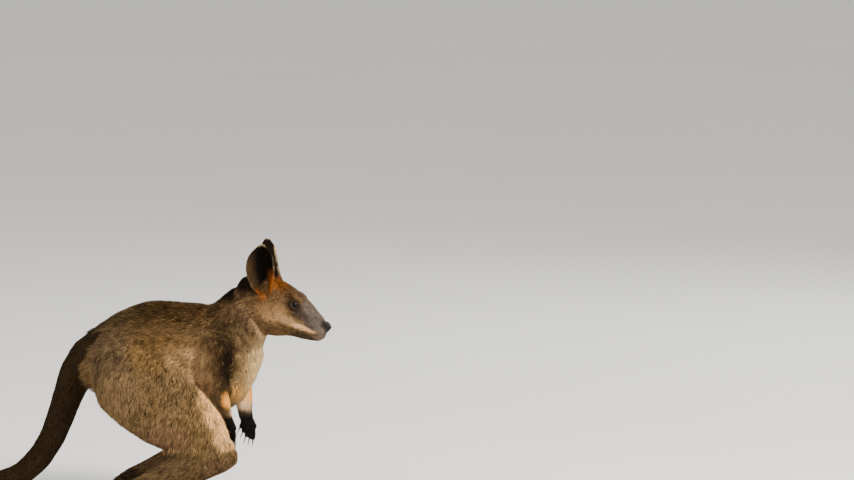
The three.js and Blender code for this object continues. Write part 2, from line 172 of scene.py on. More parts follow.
class Surface:
    """A mesh as arrays: its points, its triangles and up to six neighbours of each point."""

    NEIGHBOURS = 6
    BACK_OUT = 1.04  # how strong a round back out is after a round in

    def __init__(self, mesh):
        self.points = read(mesh.vertices, "co", 3)
        mesh.calc_loop_triangles()
        self.triangles = read(mesh.loop_triangles, "vertices", 3, int)
        self.count = len(self.points)
        edges = read(mesh.edges, "vertices", 2, int)
        starts, ends = np.concatenate([edges, edges[:, ::-1]]).T
        order = np.argsort(starts, kind="stable")
        starts, ends = starts[order], ends[order]
        place = np.arange(len(starts)) - np.searchsorted(starts, starts)
        kept = place < self.NEIGHBOURS
        # A point's own number fills the places that no neighbour takes.
        self.table = np.tile(np.arange(self.count)[:, None], self.NEIGHBOURS)
        self.table[starts[kept], place[kept]] = ends[kept]
        self.degree = np.bincount(starts[kept], minlength=self.count)

    def neighbours_mean(self, values, at=slice(None)):
        flat = values.reshape(self.count, -1)
        spare = (self.NEIGHBOURS - self.degree[at])[:, None]
        total = flat[self.table[at]].sum(axis=1) - spare * flat[at]
        return (total / np.maximum(self.degree[at], 1)[:, None]).reshape(values[at].shape)

    def smoothed(self, values, rounds, share=0.6, at=slice(None)):
        """Values drawn towards their neighbours' mean, at all the points or at some."""
        values = values.copy()
        if np.ndim(share) and values.ndim > 1:
            share = share[:, None]
        for _ in range(rounds):
            values[at] += share * (self.neighbours_mean(values, at) - values[at])
        return values

    def rounded(self, values, rounds, share):
        """Smooths away facets without shrinking: each round in is followed by one out again."""
        for _ in range(rounds):
            for turn in (1, -self.BACK_OUT):
                values = values + turn * share[:, None] * (self.neighbours_mean(values) - values)
        return values

    def crosses(self):
        """The cross product of two sides of each triangle."""
        a, b, c = (self.points[self.triangles[:, k]] for k in range(3))
        return np.cross(b - a, c - a)

    def normals(self):
        facing = self.crosses()
        total = np.zeros_like(self.points)
        for k in range(3):
            for axis in range(3):
                total[:, axis] += np.bincount(self.triangles[:, k], facing[:, axis], self.count)
        return unit(total)

    def areas(self):
        return np.linalg.norm(self.crosses(), axis=1) / 2


def read(collection, name, width, kind=float):
    values = np.empty(len(collection) * width, np.float32 if kind is float else np.int32)
    collection.foreach_get(name, values)
    return values.reshape(-1, width).astype(kind)


def mesh_from(name, points, faces):
    """A mesh from arrays of points and of faces with the same number of corners."""
    mesh = bpy.data.meshes.new(name)
    corners = faces.shape[1]
    mesh.vertices.add(len(points))
    mesh.vertices.foreach_set("co", points.astype(np.float32).ravel())
    mesh.loops.add(faces.size)
    mesh.loops.foreach_set("vertex_index", faces.astype(np.int32).ravel())
    mesh.polygons.add(len(faces))
    mesh.polygons.foreach_set("loop_start", np.arange(0, faces.size, corners, dtype=np.int32))
    mesh.update(calc_edges=True)
    mesh.validate()
    mesh.shade_smooth()
    return mesh


def set_numbers(mesh, name, numbers):
    """Stores a number for each point of a mesh."""
    attribute = mesh.attributes.new(name, "FLOAT", "POINT")
    attribute.data.foreach_set("value", np.array(numbers, np.float32))


def set_tones(mesh, tones):
    """Stores a colour for each point of a mesh."""
    attribute = mesh.attributes.new("tone", "FLOAT_COLOR", "POINT")
    attribute.data.foreach_set("color", np.c_[tones, np.ones(len(tones))].astype(np.float32).ravel())


def welded(node):
    """A CAD solid with its facets joined at their corners, as a bmesh."""
    shape = bmesh.new()
    shape.from_mesh(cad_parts[node].data)
    bmesh.ops.remove_doubles(shape, verts=shape.verts, dist=1e-6)
    return shape


def mesh_of(shape, name):
    """A mesh from a bmesh, which is freed."""
    mesh = bpy.data.meshes.new(name)
    shape.to_mesh(mesh)
    shape.free()
    return mesh


def with_modifier(mesh, kind, **settings):
    """A mesh after one modifier."""
    piece = bpy.data.objects.new("scratch", mesh)
    bpy.context.scene.collection.objects.link(piece)
    modifier = piece.modifiers.new("change", kind)
    for name, value in settings.items():
        setattr(modifier, name, value)
    evaluated = piece.evaluated_get(bpy.context.evaluated_depsgraph_get())
    changed = bpy.data.meshes.new_from_object(evaluated)
    bpy.data.objects.remove(piece)
    return changed


def tree_of(points, every=1):
    """A search tree of some of the points, by their numbers."""
    tree = KDTree(len(points) // every + 1)
    for i in range(0, len(points), every):
        tree.insert(points[i], i)
    tree.balance()
    return tree


def nearest_in(tree, places):
    return np.array([tree.find(place)[1] for place in places])


def add_piece(name, mesh, material, replaced=()):
    piece = bpy.data.objects.new(name, mesh)
    bpy.context.scene.collection.objects.link(piece)
    piece.data.materials.clear()
    piece.data.materials.append(material)
    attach(piece, "root")
    if replaced:
        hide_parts(*replaced)
    return piece


# ---- Soft noise ----

LATTICE_SIZE = 32
LATTICE = np.random.default_rng(3).random((LATTICE_SIZE,) * 3)
LATTICE_SHIFT = 100  # cells between the lattice's corner and the frame's origin
DRIFT_SHIFTS = [0, 7.3, 13.7]  # how far off each of the three axes reads the noise, in metres


def noise(points, size):
    """Smooth noise from 0 to 1, with features about `size` metres across."""
    places = points / size + LATTICE_SHIFT
    cell = np.floor(places).astype(int)
    share = step(0, 1, places - cell)
    total = 0
    for corner in np.ndindex(2, 2, 2):
        weight = np.prod(np.where(corner, share, 1 - share), axis=1)
        i, j, k = ((cell + corner) % LATTICE_SIZE).T
        total = total + weight * LATTICE[i, j, k]
    return total


def drift(points, size):
    """A noise vector from -1 to 1 along each axis."""
    return np.stack([noise(points + shift, size) for shift in DRIFT_SHIFTS], axis=1) * 2 - 1


# ---- Regions of the body ----

# For each region: how far the skin is smoothed and how far its facets are rounded (0 to 1), the coat's depth,
# the tufts' length and width, all in millimetres, the tufts to each square millimetre, the way the hair lies,
# the colour before the markings, in thousandths, and how much pale-tipped and black hair is mixed in.
COLUMNS = ["smooth", "round", "depth", "length", "width", "dense", "lie", "ground", "grizzle"]
REGIONS = {
    "trunk": (1.0, 0, 8, 15, 1.3, 0.5, (-0.85, 0, -0.5), (175, 102, 42), 0.9),
    "neck": (1.0, 0, 7, 11, 1.1, 0.75, (-0.5, 0, -0.85), (160, 100, 51), 1.3),
    "head": (0.06, 1, 2.4, 7, 0.8, 1.6, (-1, 0, 0.1), (170, 94, 40), 0.65),
    "nose": (0.02, 1, 0.6, 3, 0.5, 0, (-1, 0, 0.1), (12, 10, 9), 0),
    "ear": (0.03, 0.4, 0.5, 5, 0.65, 1.0, (-0.1, 0, 1), (14, 9, 6), 0),
    "tail": (0.3, 0.5, 4, 16, 1.4, 0.34, (-1, 0, 0), (26, 16, 7), 0.02),
    "upper_arm": (0.7, 0, 5, 11, 1.1, 0.68, (-0.15, 0, -1), (215, 125, 54), 0.8),
    "forearm": (0.25, 0.5, 2.6, 9, 0.9, 0.85, (0.3, 0, -1), (110, 66, 31), 0),
    "hand": (0.04, 0.7, 0.8, 3.2, 0.55, 1.2, (0.1, 0, -1), (10, 8, 7), 0),
    "thigh": (1.0, 0, 7, 16, 1.25, 0.55, (-0.25, 0, -1), (235, 146, 62), 0.9),
    # The shin's ground colour is its grey-brown fur, darkened further as painted shade low on the leg.
    "shin": (0.5, 0.3, 3, 10, 0.95, 0.85, (-0.8, 0, -0.55), (142, 86, 40), 0.8),
    "foot": (0.04, 0.8, 1.2, 6, 0.8, 0.7, (1, 0, -0.1), (12, 9, 8), 0),
}
NAMES = list(REGIONS)
NODES = {
    "trunk": ["trunk"],
    "neck": ["neck"],
    "head": ["head", "jaw"],
    "nose": ["nose"],
    "tail": ["tail_base", "tail_middle", "tail_tip"],
}
AREAS = {
    "body": ["trunk", "neck"],
    "arms": ["upper_arm", "forearm", "hand"],
    "legs": ["thigh", "shin"],
}


def nodes_of(name):
    """The nodes of a region: those listed, or else the right and the left one of its name."""
    return NODES.get(name) or [f"{name}_{side}" for side in SIDES]


FLESH = [node for name in NAMES for node in nodes_of(name)]
REGION_OF = {node: k for k, name in enumerate(NAMES) for node in nodes_of(name)}


def each(column):
    """A column of the regions' table."""
    return np.array([row[COLUMNS.index(column)] for row in REGIONS.values()], float)


def numbers_of(names):
    return [NAMES.index(name) for name in names]


def part_in(region_shares, *names):
    """The share of one or more regions at each point."""
    return region_shares[:, numbers_of(names)].sum(axis=1)


# The middle line of the tail, from its tip to the rump, in millimetres.
TAIL_LINE = np.array([
    [-467, 103, 7], [-441, 88, 9], [-331, 45, 13], [-211, 19, 17], [-105, 6, 40], [-37, 1, 124], [-3, 0, 215],
    [60, 0, 290],
]) * MM

# ---- Skin ----

VOXEL = 1.25 * MM
SWELL = 0.45 * MM  # closes the thin gaps between the solids
EYE_PATCH = 19 * MM  # the skin is finer this far round each eye
MOUTH_PATCH = np.array([78, 22]) * MM  # and on the muzzle, from here forward and this far up and down
BORDER_ROUNDS = 24
SMOOTH_ROUNDS = 130
ROUND_ROUNDS = 40
PULL = 0.65  # how far one round draws a point of the skin towards its neighbours
CREASE_PULL = 0.6
LOST_ROUNDS = (24, 24, 24, 12, 8)
DEEPEST = 1.1  # how deep the skin may lie under the CAD outline, in depths of the coat


def flesh_mesh():
    """Copies of all the solids of flesh as one mesh, and the region of each of its faces."""
    whole = bmesh.new()
    regions = []
    for node in FLESH:
        piece = welded(node)
        piece.normal_update()
        for vertex in piece.verts:
            vertex.co += vertex.normal * SWELL
        copy = mesh_of(piece, "copy")
        whole.from_mesh(copy)
        regions += [REGION_OF[node]] * len(copy.polygons)
    return mesh_of(whole, "flesh"), regions


def eye_gap(points):
    """How far points are from the middle of the nearer eye."""
    return np.min([np.linalg.norm(points - middle(f"eye_{side}"), axis=1) for side in SIDES], axis=0)


def refined(mesh):
    """The mesh with smaller faces round the eyes, the nose and the mouth."""
    sculpted = bmesh.new()
    sculpted.from_mesh(mesh)
    centres = np.array([face.calc_center_median() for face in sculpted.faces])
    local = to_head(centres)
    near_mouth = (local[:, 0] > MOUTH_PATCH[0]) & (np.abs(local[:, 2]) < MOUTH_PATCH[1])
    chosen = (eye_gap(centres) < EYE_PATCH) | near_mouth
    edges = {edge for face, wanted in zip(sculpted.faces, chosen) if wanted for edge in face.edges}
    bmesh.ops.subdivide_edges(sculpted, edges=list(edges), cuts=1, use_grid_fill=True)
    bmesh.ops.triangulate(sculpted, faces=[face for face in sculpted.faces if len(face.verts) > 4])
    return mesh_of(sculpted, "refined")


solids, solid_regions = flesh_mesh()
skin = Surface(refined(with_modifier(solids, "REMESH", mode="VOXEL", voxel_size=VOXEL)))
solid_tree = BVHTree.FromPolygons(
    [vertex.co for vertex in solids.vertices], [tuple(face.vertices) for face in solids.polygons]
)
outline = skin.points.copy()
region_at = np.array([solid_regions[solid_tree.find_nearest(Vector(point))[2]] for point in outline])

# Each region's share at each point, which changes smoothly from region to region.
shares = skin.smoothed(np.eye(len(NAMES))[region_at], BORDER_ROUNDS)


def blended(name):
    """One column of the regions' table at each point of the skin."""
    return shares @ each(name)


head_share = part_in(shares, "head", "nose")


def fineness(points):
    """Shortens the coat towards the eyes, nose and mouth, from 1 down to about a third."""
    by_eye = 0.3 + 0.7 * step(12 * MM, 26 * MM, eye_gap(points))
    by_nose = 1 - 0.65 * step(66 * MM, 125 * MM, to_head(points)[:, 0])
    return 1 + step(0.3, 0.7, head_share) * (by_eye * by_nose - 1)


fine = fineness(skin.points)
skin.points = skin.smoothed(skin.points, SMOOTH_ROUNDS, PULL * blended("smooth") * fine)
skin.points = skin.rounded(skin.points, ROUND_ROUNDS, PULL * blended("round"))
inward = skin.smoothed(skin.normals(), 8)
depth = blended("depth") * MM * fine
skin.points = skin.points - unit(inward) * depth[:, None]

# The creases where regions meet are filled: two regions, and the rounds of smoothing between them.
CREASES = [
    ("nose", "head", 80),
    ("head", "neck", 90),
    ("neck", "trunk", 90),
    ("upper_arm", "trunk", 60),
    ("upper_arm", "neck", 60),
]
for first, second, rounds in CREASES:
    crease = skin.smoothed(np.clip(5 * part_in(shares, first) * part_in(shares, second), 0, 1), 16)
    creased = np.flatnonzero(crease > 0.002)
    skin.points = skin.smoothed(skin.points, rounds, CREASE_PULL * crease[creased], creased)

# Where the smoothing took away more than the coat's depth, the skin comes back out.
for rounds in LOST_ROUNDS:
    facing = skin.normals()
    lost = np.maximum(dot(outline - skin.points, facing) - DEEPEST * depth, 0)
    skin.points = skin.points + facing * skin.smoothed(lost, rounds)[:, None]

# ---- Head: lids, mouth and folds ----

EYE_RADIUS = 9.5 * MM
LID = 1.3 * MM  # thickness of the lids over the eyeball
LID_FOLD = np.array([0.5, 2.6, 0.7]) * MM  # the fold in the lids: depth, distance from their edge and width
OPENING = np.array([7.2, 5.4]) * MM  # half width and half height of the opening between the lids
OPENING_TILT = math.radians(-8)  # the front corner of the eye is the lower one
GAZE_LOCAL = unit(np.array([0.30, 0.93, 0.16]))
LID_LINE = np.array([1, 0, -0.1])  # the way from the back corner of the eye to the front one
NOSTRIL = np.array([135, 5.2, 11.5]) * MM  # the middle of the left one, in the head's frame
PIT_DEPTH = 3.6 * MM
SLIT_DEPTH = 2.0 * MM  # of the nostril's slit, which runs out and up from its pit
GROOVE_DEPTH = 1.1 * MM  # of the groove between the nostrils
MOUTH_DEPTH = 1.9 * MM
MOUTH_TIP = np.array([134, 1.5]) * MM  # along the muzzle and up, in the head's frame
MOUTH_CORNER = np.array([86, -6.5]) * MM
MOUTH_SAG = 1.2 * MM

# Soft pushes of the head's skin, mirrored: place, half sizes and how far out, in millimetres.
HEAD_FOLDS = [
    ((80, 21, 20), (10, 9, 7), -1.6),  # hollow in front of the eye
    ((60, 33, 14), (16, 8, 7), -1.0),  # under the eye
    ((50, 38, -8), (20, 12, 14), 1.4),  # cheek
    ((100, 22, 6), (16, 8, 8), -0.8),  # side of the muzzle
    ((84, 22, -8), (7, 8, 5), -1.5),  # corner of the mouth
    ((118, 15, 6), (10, 6, 7), 1.0),  # whisker pad
    ((62, 17, 47), (16, 8, 6), 0.4),  # brow
    ((130, 8, 4), (8, 8, 5), 2.0),  # upper lip under the nose
    ((119, 5, 22), (9, 12, 8), 2.2),  # bridge behind the nose
    ((126, 8, -9), (8, 9, 5), 1.2),  # chin
]


def eye_frame(side):
    """An eye's middle and its own axes in the body's frame: forward along the lids, up and out."""
    sign = SIDES[side]
    out = (GAZE_LOCAL * [1, sign, 1]) @ HEAD_AXES
    level = LID_LINE @ HEAD_AXES
    along = unit(level - out * (level @ out))
    up = np.cross(out, along) * sign
    return middle(f"eye_{side}"), along, up * (-1 if up[2] < 0 else 1), out


def seen_by_eye(points, side):
    """How far points are from an eye's middle, along the lids, up and out."""
    centre, *axes = eye_frame(side)
    return [(points - centre) @ axis for axis in axes]


def opening_radius(angle):
    """How far the lids' edge is from the eye's axis at an angle round it; the corners are drawn out."""
    turned = angle - OPENING_TILT
    across, high = OPENING
    base = 1 / np.sqrt((np.cos(turned) / across) ** 2 + (np.sin(turned) / high) ** 2)
    return base * (1 + 0.10 * np.cos(turned) ** 8)


def along_lids(side, angles, beyond, above):
    """The spokes from the eye's axis to the lids' edge, and places this far beyond it and above the ball."""
    centre, along, up, out = eye_frame(side)
    radius = (opening_radius(angles) + beyond)[:, None]
    spokes = np.cos(angles)[:, None] * along + np.sin(angles)[:, None] * up
    lift = np.sqrt((EYE_RADIUS + above) ** 2 - radius**2)
    return spokes, centre + spokes * radius + out * lift


def shape_lids(points, side):
    """The skin drawn over the eyeball, with the opening let in."""
    x, y, height = seen_by_eye(points, side)
    radius = np.hypot(x, y)
    beyond = radius - opening_radius(np.arctan2(y, x))
    outer = EYE_RADIUS + LID
    shoulder = 0.93 * outer  # the dome over the ball runs on as a slope from here
    dome = np.sqrt(np.maximum(outer**2 - np.minimum(radius, shoulder) ** 2, 0))
    dome -= np.maximum(radius - shoulder, 0) * 2.2
    fold_depth, fold_away, fold_width = LID_FOLD
    fold = fold_depth * bell(beyond - fold_away, fold_width) * (0.4 + 0.6 * (y > 0))
    lid = np.where(dome > height, dome, height + (dome - height) * step(15 * MM, 9 * MM, radius)) - fold
    sunk = np.sqrt(np.maximum((EYE_RADIUS - 1.4 * MM) ** 2 - radius**2, 0))
    target = sunk + (lid - sunk) * step(-0.5 * MM, 0.35 * MM, beyond)
    before = height > -16 * MM
    move = np.where(before, (target - height) * step(16 * MM, 11 * MM, radius), 0)
    return points + eye_frame(side)[-1] * move[:, None]


def mouth_closeness(local, width):
    """1 on the mouth's line, falling to 0 about `width` away from it."""
    x, z = local[:, 0], local[:, 2]
    share = (x - MOUTH_CORNER[0]) / (MOUTH_TIP[0] - MOUTH_CORNER[0])
    sag = MOUTH_SAG * np.sin(np.pi * np.clip(share, 0, 1))
    line = MOUTH_CORNER[1] + (MOUTH_TIP[1] - MOUTH_CORNER[1]) * share - sag
    return bell(np.abs(z - line), width) * step(MOUTH_CORNER[0] - 3 * MM, MOUTH_CORNER[0] + 5 * MM, x)


def nostrils(places):
    """How deep the nostrils and the groove between them are, at mirrored places in the head's frame."""
    offset = places - NOSTRIL
    across = offset[:, 1] + 0.35 * offset[:, 0]
    high = offset[:, 2] - 0.5 * offset[:, 1]
    pit = PIT_DEPTH * bell(across, 2.4 * MM) * bell(high, 1.6 * MM)
    slit = SLIT_DEPTH * bell(across - 3.6 * MM, 2.4 * MM) * bell(high - 1.2 * MM, 0.9 * MM)
    groove = GROOVE_DEPTH * bell(places[:, 1], 0.8 * MM) * step(14 * MM, 8 * MM, places[:, 2])
    return step(126 * MM, 131 * MM, places[:, 0]) * (pit + slit + groove)


def shape_head(points, facing):
    local = to_head(points)
    places = mirrored(local)
    for middle_mm, halves_mm, push in HEAD_FOLDS:
        points = points + facing * (push * MM * bell(patch_gap(places, middle_mm, halves_mm), 1))[:, None]
    mouth = MOUTH_DEPTH * mouth_closeness(local, 1.1 * MM)
    points = points - facing * (mouth + nostrils(places))[:, None]
    for side in SIDES:
        points = shape_lids(points, side)
    return points


on_head = head_share > 0.5
skin.points[on_head] = shape_head(skin.points, skin.normals())[on_head]
normals = skin.normals()

# ---- Coat: depth, length and lie at each point of the skin ----


def tail_way(points):
    """The way towards the tail's tip at each point, and the nearest point of the tail's middle line."""
    best = np.full(len(points), np.inf)
    way = np.zeros_like(points)
    centre = np.zeros_like(points)
    for a, b in zip(TAIL_LINE[:-1], TAIL_LINE[1:]):
        along = b - a
        share = np.clip((points - a) @ along / (along @ along), 0, 1)
        foot = a + share[:, None] * along
        distance = np.linalg.norm(points - foot, axis=1)
        nearer = distance < best
        best[nearer] = distance[nearer]
        way[nearer] = -unit(along)
        centre[nearer] = foot[nearer]
    return way, centre


def laid(field):
    """The ways turned to lie along the skin."""
    return unit(field - normals * dot(field, normals)[:, None])


def lie_of_hair():
    """The way the hair lies at each point of the skin, as unit vectors along it."""
    ways = each("lie")
    ways[NAMES.index("head")] = ways[NAMES.index("head")] @ HEAD_AXES
    field = shares @ unit(ways)
    front = part_in(shares, "neck", "trunk") * step(0.1, 0.6, normals[:, 0])
    field = drawn_to(field, [0.1, 0, -1], front)
    knee = part_in(shares, "thigh", "shin") * step(0.0, 0.5, normals[:, 0])
    outwards = 0.5 * np.sign(skin.points[:, 1])
    field = drawn_to(field, np.stack([np.zeros(skin.count), outwards, -knee], axis=1), knee)
    field = drawn_to(field, tail_way(skin.points)[0], part_in(shares, "tail"))
    field = unit(field + 0.18 * drift(skin.points, 45 * MM))
    for _ in range(3):
        field = skin.smoothed(laid(field), 20)
    return laid(field)


lie = lie_of_hair()
reach = dot(outline - skin.points, normals)
height = skin.smoothed(np.clip(reach, 0.6 * depth, 1.8 * depth), 4)
length = blended("length") * MM * fine * (1.25 - 0.5 * noise(skin.points, 30 * MM))
width = blended("width") * MM * (0.45 + 0.55 * fine)

# ---- Ears: their own axes, inside and rim ----

EAR_FOOT = np.array([11, 27, 30]) * MM  # the left one, in the head's frame
EAR_LENGTH = 94 * MM
EAR_HALF_WIDTH = 26 * MM
EAR_BULGE = 6 * MM
EAR_TURNS = {"right": (18, -21, 12), "left": (3, -28, 40)}  # degrees outwards, forward and of the opening


def turned_about(axis, degrees):
    angle = math.radians(degrees)
    cos, sin = math.cos(angle), math.sin(angle)
    matrix = np.eye(3)
    a, b = [(1, 2), (2, 0), (0, 1)][axis]
    matrix[a, a] = matrix[b, b] = cos
    matrix[a, b], matrix[b, a] = -sin, sin
    return matrix


def ear_axes(side, sign):
    """The ear's forward, left and up axes as columns, in the head's frame."""
    splay, lean, turn = EAR_TURNS[side]
    return turned_about(0, -sign * splay) @ turned_about(1, lean) @ turned_about(2, -sign * turn)


def ear_places(points, facing):
    """For points of the ears: along the ear from 0 to 1, across it from -1 at the back edge to 1 at the front
    edge, and how far they face its opening."""
    along, across, inside = np.zeros((3, len(points)))
    for side, sign in SIDES.items():
        mine = np.sign(points[:, 1]) == sign
        axes = ear_axes(side, sign)
        local = (to_head(points[mine]) - EAR_FOOT * [1, sign, 1]) @ axes
        v = np.clip(local[:, 2] / EAR_LENGTH, 0, 1)
        above = np.maximum((v - 0.5) / 0.5, 0)
        swell = 0.4 + 0.6 * np.sin(np.minimum(v / 0.5, 1) * np.pi / 2) ** 1.3
        half = np.maximum(EAR_HALF_WIDTH * swell * np.sqrt(1 - above**2.6), 9 * MM)
        along[mine] = v
        across[mine] = (local[:, 0] + EAR_BULGE * np.sin(np.pi * v)) / half
        inside[mine] = (facing[mine] @ HEAD_AXES.T @ axes)[:, 1] * sign
    return along, across, inside


# ---- Markings ----

# Soft patches painted over the ground colours in turn, on both sides: middle and half sizes in millimetres,
# colour in thousandths, how full it is and the area it is kept to, if any. Those of the head are in the
# head's own frame.
BODY_PATCHES = [
    ((180, 0, 362), (150, 78, 44), (56, 26, 6), 0.9),  # back
    ((70, 0, 350), (70, 80, 40), (95, 64, 28), 0.8),  # top of the rump
    ((44, 0, 318), (44, 42, 42), (40, 25, 11), 0.9),  # above the tail
    ((85, 80, 285), (60, 55, 60), (165, 104, 56), 0.8),  # rump
    ((112, 90, 208), (46, 40, 42), (300, 188, 88), 0.8),  # haunch, painted lighter as painted light where it faces away from the key light
    ((185, 80, 290), (62, 50, 38), (225, 124, 40), 0.8),  # flank
    ((232, 78, 250), (48, 50, 48), (390, 230, 102), 0.85, "body"),  # lower flank
    ((230, 30, 190), (80, 60, 40), (420, 260, 120), 0.8, "body"),  # belly
    ((304, 52, 355), (24, 30, 20), (225, 128, 64), 0.8),  # side of the neck
    ((244, 78, 262), (22, 50, 44), (400, 245, 112), 0.8, "arms"),  # back of the upper arm
    ((292, 68, 316), (27, 42, 38), (50, 28, 11), 0.87),  # shoulder
    ((292, 74, 262), (15, 30, 52), (50, 28, 12), 0.8),  # front of the upper arm
    ((334, 0, 226), (48, 78, 104), (330, 212, 96), 0.8, "body"),  # round the chest
    ((344, 0, 214), (38, 56, 88), (500, 340, 160), 0.8, "body"),  # chest
    ((348, 0, 224), (30, 44, 72), (720, 505, 245), 0.9, "body"),  # middle of the chest
    ((358, 0, 302), (20, 38, 36), (470, 315, 155), 0.85, "body"),  # throat
    ((312, 38, 200), (15, 27, 28), (950, 480, 120), 0.95, "body"),  # chest behind the elbow
    ((301, 62, 252), (12, 28, 56), (16, 9, 4), 0.97),  # band from the shoulder
    ((310, 32, 190), (34, 18, 44), (820, 560, 320), 0.92, "arms"),  # inner side of the forearms
    ((280, 66, 190), (12, 30, 32), (60, 38, 19), 0.9, "arms"),  # back of the forearm
    ((305, 66, 200), (13, 24, 25), (960, 430, 80), 0.97, "arms"),  # orange at the elbow
    ((296, 0, 392), (38, 58, 24), (7, 3, 1), 0.97),  # nape
    ((326, 0, 412), (34, 64, 28), (7, 3, 1), 0.97),  # nape behind the ears
    ((256, 90, 160), (36, 38, 52), (250, 155, 60), 0.8, "legs"),  # front of the thigh
    ((192, 96, 140), (46, 34, 30), (300, 166, 84), 0.7, "legs"),  # lower thigh
    # The cream along the edge of the thigh and the knee is a painted highlight, where light catches the fur.
    ((268, 84, 210), (16, 36, 20), (820, 470, 180), 0.9, "legs"),  # painted highlight on the edge of the thigh, from the top
    ((283, 84, 182), (18, 40, 24), (1000, 600, 250), 0.98, "legs"),
    ((294, 84, 150), (17, 36, 22), (960, 570, 235), 0.97, "legs"),
    ((304, 84, 127), (15, 38, 14), (800, 480, 210), 0.9, "legs"),  # painted highlight on the edge of the knee
    ((306, 48, 158), (32, 30, 13), (8, 6, 5), 0.95, "arms"),  # wrists
    ((98, 77, 30), (52, 30, 20), (40, 27, 14), 0.9, "legs"),  # ankles
]
HEAD_PATCHES = [
    ((32, 0, 52), (30, 30, 14), (175, 52, 5), 0.92),  # crown
    ((64, 0, 46), (24, 22, 10), (100, 60, 33), 0.85),  # forehead
    ((54, 18, 42), (15, 14, 8), (82, 37, 10), 0.8),  # brow
    ((40, 38, 4), (30, 22, 14), (330, 185, 80), 0.85),  # cheek
    ((98, 0, 26), (38, 28, 18), (140, 112, 92), 0.92),  # top of the muzzle
    ((112, 14, 13), (22, 18, 11), (125, 106, 95), 0.85),  # side of the muzzle
    ((87, 24, 17), (18, 12, 9), (54, 37, 29), 0.88),  # in front of the eye and under it
    ((66, 28, 31), (17, 14, 11), (26, 16, 10), 0.92),  # round the eye
    ((74, 32, 2), (26, 18, 8), (400, 240, 110), 0.85),  # from the cheek to the lip
    ((98, 20, -1), (22, 12, 4.5), (840, 530, 270), 0.95),  # upper lip
    ((104, 8, -18), (26, 26, 12), (52, 40, 20), 0.92),  # lower jaw: dark brown fur, with painted shade under the cheek
    ((128, 4, 0), (11, 18, 11), (135, 110, 94), 0.9),  # end of the lip
    ((121, 8, -8), (9, 11, 5.5), (230, 175, 140), 0.85),  # lower lip
    ((130, 0, 16), (12, 16, 11), (22, 18, 16), 0.94),  # round the nose
    ((-26, 0, 32), (34, 56, 24), (7, 3, 1), 0.97),  # back of the head
    ((21, 22, 50), (10, 14, 15), (260, 74, 8), 0.85),  # before the ears
    ((12, 32, 24), (11, 14, 11), (220, 70, 12), 0.88),  # foot of the ears
]


def painted(colours, places, patches, unevenness, region_shares):
    """The colours with patches painted over them, whose edges wander by the unevenness."""
    warped = mirrored(places + drift(places, 22 * MM) * unevenness)
    for middle_mm, halves_mm, colour, fullness, *areas in patches:
        share = fullness * step(1.35, 0.6, patch_gap(warped, middle_mm, halves_mm))
        for area in areas:
            share = share * step(0.2, 0.8, part_in(region_shares, *AREAS[area]))
        colours = drawn_to(colours, np.array(colour) * THOUSANDTH, share)
    return colours


def ear_colours(points, facing):
    """Black backs, dark insides, a pale rim, a painted highlight along the left ear's front edge, and orange
    at the foot of the front edge.
    """
    along, across, inside = ear_places(points, facing)
    within = step(-0.1, 0.25, inside)
    left = step(0, 1 * MM, points[:, 1])
    by_back_edge = within * step(-0.15, -0.9, across) * step(0.95, 0.6, along)
    rim = np.maximum(step(0.88, 0.99, np.abs(across)) * step(0.10, 0.3, along), step(0.94, 0.99, along))
    broken = 0.25 + 0.75 * step(0.35, 0.6, noise(points, 9 * MM))
    streak = step(0.55, 0.25, along) * step(0.35, 0.7, across) * step(-0.5, 0.1, inside)
    colours = np.tile([0.010, 0.006, 0.004], (len(points), 1))
    for share, colour in [
        (within, (0.005, 0.003, 0.002)),
        (by_back_edge, (0.060, 0.034, 0.015)),
        (0.8 * rim * broken, (0.400, 0.300, 0.170)),
        # Painted highlight: the left ear's front edge is made pale where light catches it.
        (left * step(0.86, 0.95, across) * step(0.58, 0.72, along), (0.520, 0.390, 0.220)),
        ((1 - left) * streak, (0.205, 0.054, 0.007)),
        (step(0.16, 0.06, along) * (0.9 - 0.6 * left), (0.180, 0.052, 0.008)),
    ]:
        colours = drawn_to(colours, colour, share)
    return colours


def markings(points, region_shares, facing):
    """The coat's colour at points of the skin."""
    grounds = each("ground") * THOUSANDTH
    body = painted(region_shares @ grounds, points, BODY_PATCHES, 5 * MM, region_shares)
    head = painted(region_shares @ grounds, to_head(points), HEAD_PATCHES, 2 * MM, region_shares)
    colours = drawn_to(body, head, step(0.3, 0.7, part_in(region_shares, "head", "nose")))
    for name in ["ear", "tail", "hand", "foot"]:
        own = ear_colours(points, facing) if name == "ear" else grounds[NAMES.index(name)]
        colours = drawn_to(colours, own, step(0.4, 0.8, part_in(region_shares, name)))
    return colours * (0.8 + 0.4 * noise(points, 12 * MM))[:, None]


# ---- Materials ----


